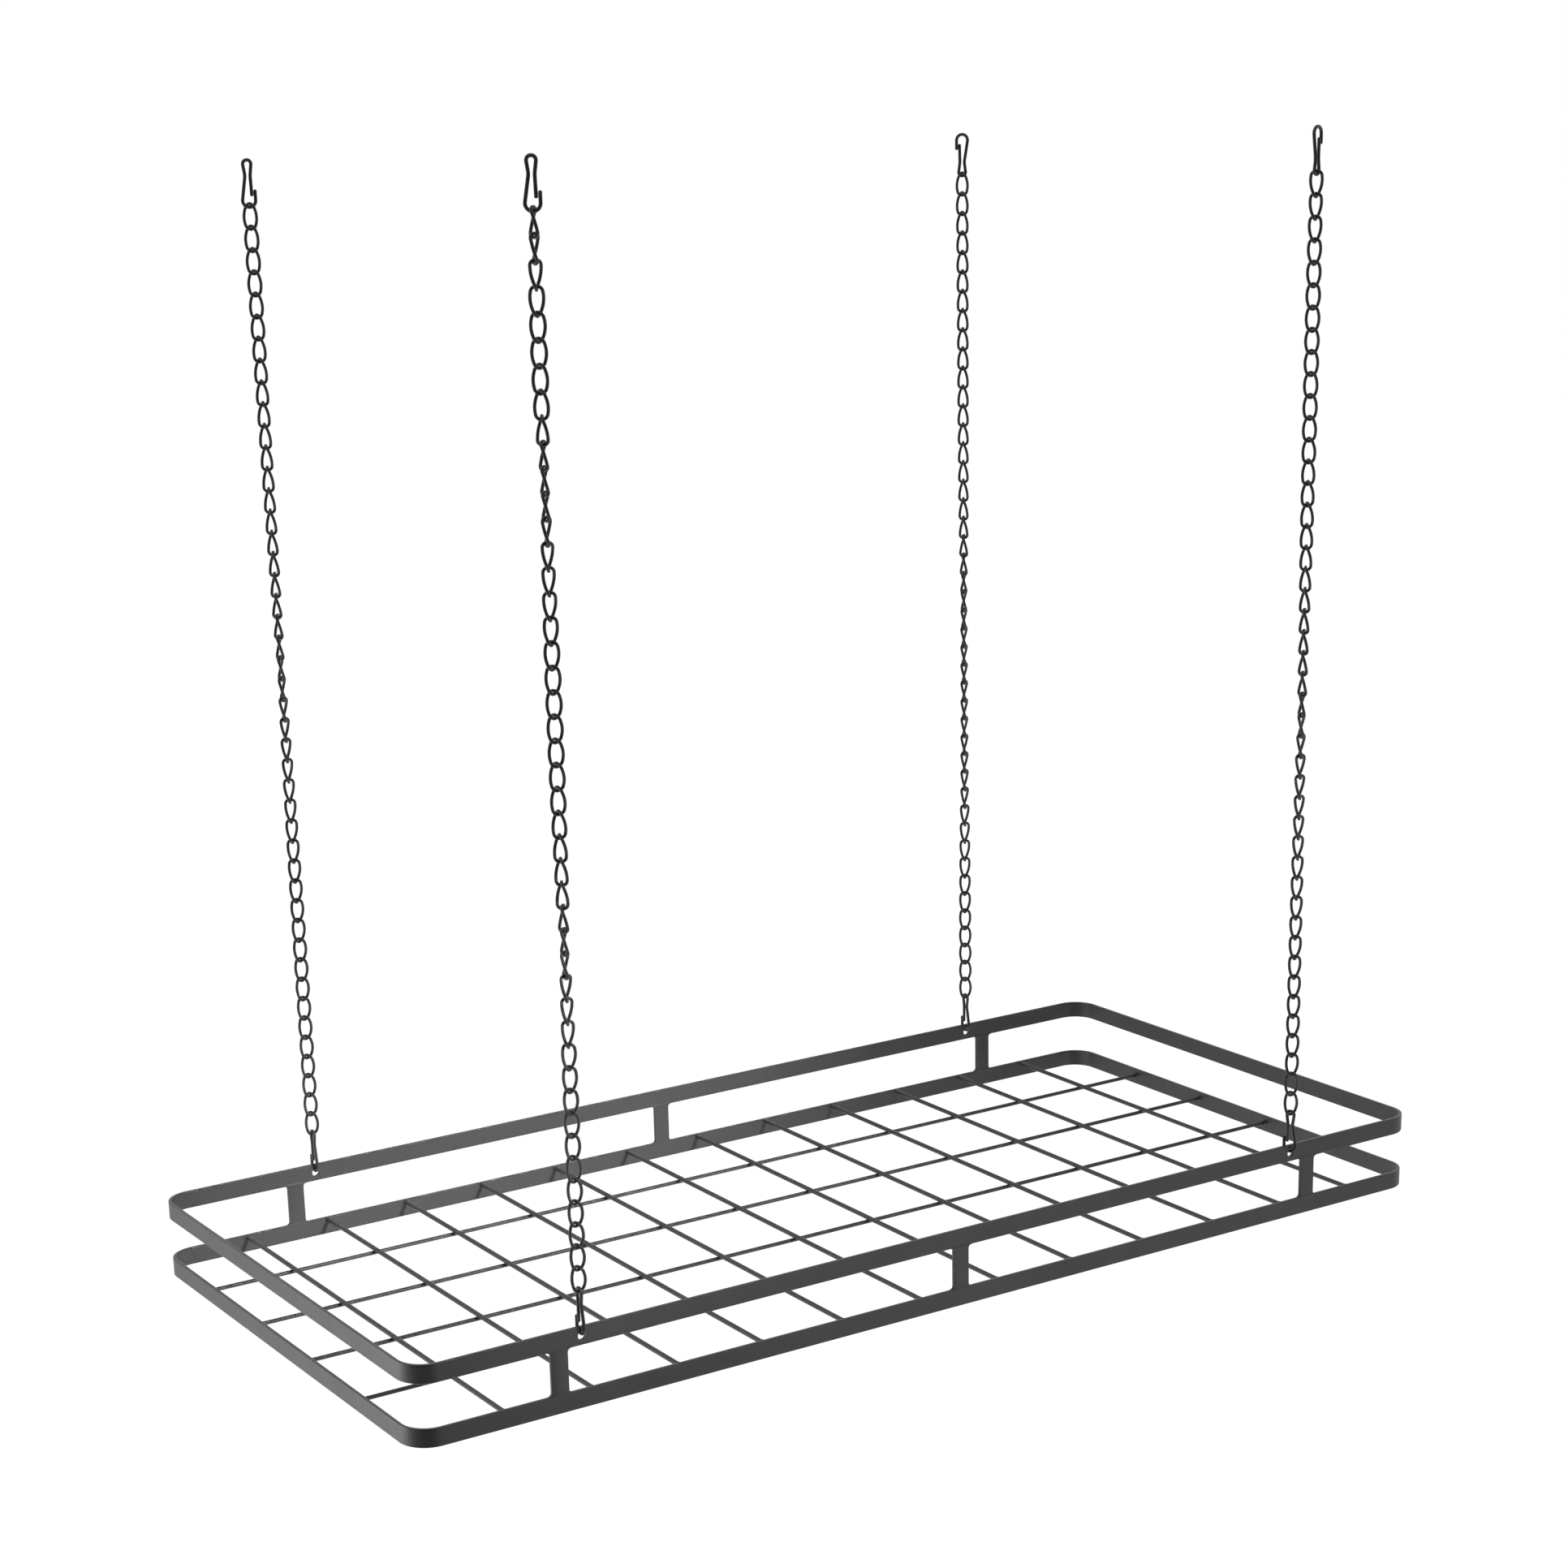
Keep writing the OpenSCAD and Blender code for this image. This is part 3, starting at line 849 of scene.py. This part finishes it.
plain = joined(sky_nodes, sky_links, "MULTIPLY", height.outputs["Result"], lit_share)
strength = sky_nodes.new("ShaderNodeMix")
sky_links.new(as_mirrored, strength.inputs["Factor"])
sky_links.new(plain, strength.inputs["A"])
sky_links.new(lit_share, strength.inputs["B"])
sky = sky_nodes.new("ShaderNodeBackground")
sky.inputs["Color"].default_value = (1, 1, 1, 1)
sky_links.new(
    joined(sky_nodes, sky_links, "MAXIMUM", strength.outputs["Result"], rays.outputs["Is Camera Ray"]),
    sky.inputs["Strength"])
sky_links.new(sky.outputs["Background"], sky_out.inputs["Surface"])

floor_mesh = bpy.data.meshes.new("floor")
floor_z = lower_low.z - FLOOR_DROP
floor_mesh.from_pydata(
    [(-FLOOR_HALF, -FLOOR_HALF, floor_z), (FLOOR_HALF, -FLOOR_HALF, floor_z),
     (FLOOR_HALF, FLOOR_HALF, floor_z), (-FLOOR_HALF, FLOOR_HALF, floor_z)], [], [(0, 1, 2, 3)])
floor = bpy.data.objects.new("floor", floor_mesh)
bpy.context.scene.collection.objects.link(floor)
floor_paint = bpy.data.materials.new("floor_paint")
floor_paint.use_nodes = True
floor_nodes, floor_links = floor_paint.node_tree.nodes, floor_paint.node_tree.links
floor_shader = floor_nodes["Principled BSDF"]
floor_shader.inputs["Roughness"].default_value = 0.9
floor_shader.inputs["Specular IOR Level"].default_value = 0.0
floor_shader.inputs["Emission Color"].default_value = (1, 1, 1, 1)
floor_rays = floor_nodes.new("ShaderNodeLightPath")
floor_place = floor_nodes.new("ShaderNodeTexCoord")
floor_split = floor_nodes.new("ShaderNodeSeparateXYZ")
floor_links.new(floor_place.outputs["Object"], floor_split.inputs["Vector"])


def floor_maths(operation, *values):
    """A Math node's result in the floor's material."""
    return joined(floor_nodes, floor_links, operation, *values)


floor_unlit = dark_front(
    floor_nodes, floor_links, floor_split.outputs["X"], floor_split.outputs["Y"], FLOOR_REACH)
# Painted shade: the floor's own colour is darker towards the unlit end, while camera rays still see it
# white
floor_links.new(
    floor_maths("MULTIPLY_ADD", floor_unlit, -FLOOR_PAINTED_SHADE, FLOOR_GREY),
    floor_shader.inputs["Base Color"])
# Painted shade in the floor's glow seen in reflections, towards the unlit end
floor_mirrored = floor_maths("MULTIPLY_ADD", floor_unlit, -FLOOR_PAINTED_SHADE, FLOOR_MIRRORED)
floor_seen = floor_maths("MULTIPLY_ADD", floor_unlit, FLOOR_SEEN_UNLIT, FLOOR_SEEN)
by_mirror = floor_maths(
    "MAXIMUM", floor_rays.outputs["Is Glossy Ray"], floor_rays.outputs["Is Transmission Ray"])
floor_glow = floor_maths(
    "ADD", floor_maths("MULTIPLY", floor_rays.outputs["Is Camera Ray"], floor_seen),
    floor_maths("MULTIPLY", floor_mirrored, by_mirror))
floor_links.new(floor_glow, floor_shader.inputs["Emission Strength"])
floor_mesh.materials.append(floor_paint)
